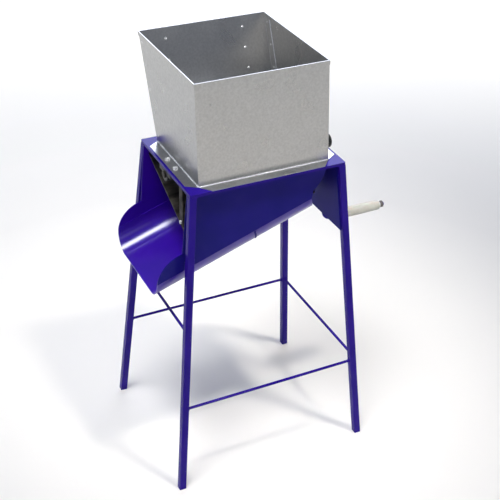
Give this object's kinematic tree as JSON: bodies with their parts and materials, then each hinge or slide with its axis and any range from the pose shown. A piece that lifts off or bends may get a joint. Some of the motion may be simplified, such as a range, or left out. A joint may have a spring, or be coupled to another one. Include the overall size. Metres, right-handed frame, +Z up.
{
  "type": "beet mill",
  "caption": "Hand-cranked beet mill: galvanised hopper over a toothed drum and breast plate, sloping sheet chute to one side, splayed tube stand.",
  "frame": {"origin": "on the floor, in the middle of the machine's outer box", "axes": "+X along the drum shaft toward the crank, +Y to the back where the hopper flares, +Z up"},
  "size_m": [0.7676, 0.5162, 1.19],
  "materials": {
    "blue_enamel": "gloss",
    "galvanised_sheet": "spangled",
    "bare_steel": "rolled",
    "black_cast_iron": "satin",
    "ground_knife_steel": "ground",
    "zinc_plated_steel": "plated",
    "cream_plastic": "moulded"
  },
  "bodies": {
    "stand": {"top_frame": "blue_enamel", "leg_front_left": "blue_enamel", "leg_front_right": "blue_enamel", "leg_back_left": "blue_enamel", "leg_back_right": "blue_enamel", "brace_front": "blue_enamel", "brace_back": "blue_enamel", "brace_left": "blue_enamel", "brace_right": "blue_enamel", "hopper_shell": "galvanised_sheet", "hopper_back": "galvanised_sheet", "hopper_rivets": "zinc_plated_steel", "front_guide": "bare_steel", "chute_front_wall": "blue_enamel", "chute_back_wall": "blue_enamel", "trough_head": "blue_enamel", "trough_spout": "blue_enamel", "trough_seam": "blue_enamel", "right_end_plate": "blue_enamel", "breast_plate": "bare_steel", "hanger_left": "bare_steel", "hanger_right": "bare_steel", "breast_bolts": "zinc_plated_steel", "breast_nuts": "zinc_plated_steel", "bearing_left": "black_cast_iron", "bearing_right": "black_cast_iron", "bearing_bolts": "zinc_plated_steel", "bearing_nuts": "zinc_plated_steel"},
    "crank": {"shaft": "bare_steel", "shaft_collar": "bare_steel", "collar_screw": "zinc_plated_steel", "drum_shell": "bare_steel", "drum_disc_left": "bare_steel", "drum_disc_right": "bare_steel", "knives": "ground_knife_steel", "knife_screws": "zinc_plated_steel", "crank_hub": "black_cast_iron", "hub_screw": "zinc_plated_steel", "crank_arm": "blue_enamel", "grip_washer": "zinc_plated_steel", "grip_nut": "zinc_plated_steel"},
    "grip": {"grip": "cream_plastic"}
  },
  "joints": [
    {"name": "crank_spin", "type": "hinge", "parent": "stand", "child": "crank", "pos_m": [-0.0718, -0.00454, 0.892], "axis": [1, 0, 0], "continuous": true},
    {"name": "grip_spin", "type": "hinge", "parent": "crank", "child": "grip", "pos_m": [0.3067, -0.03137, 0.65652], "axis": [1, 0, 0], "continuous": true}
  ]
}
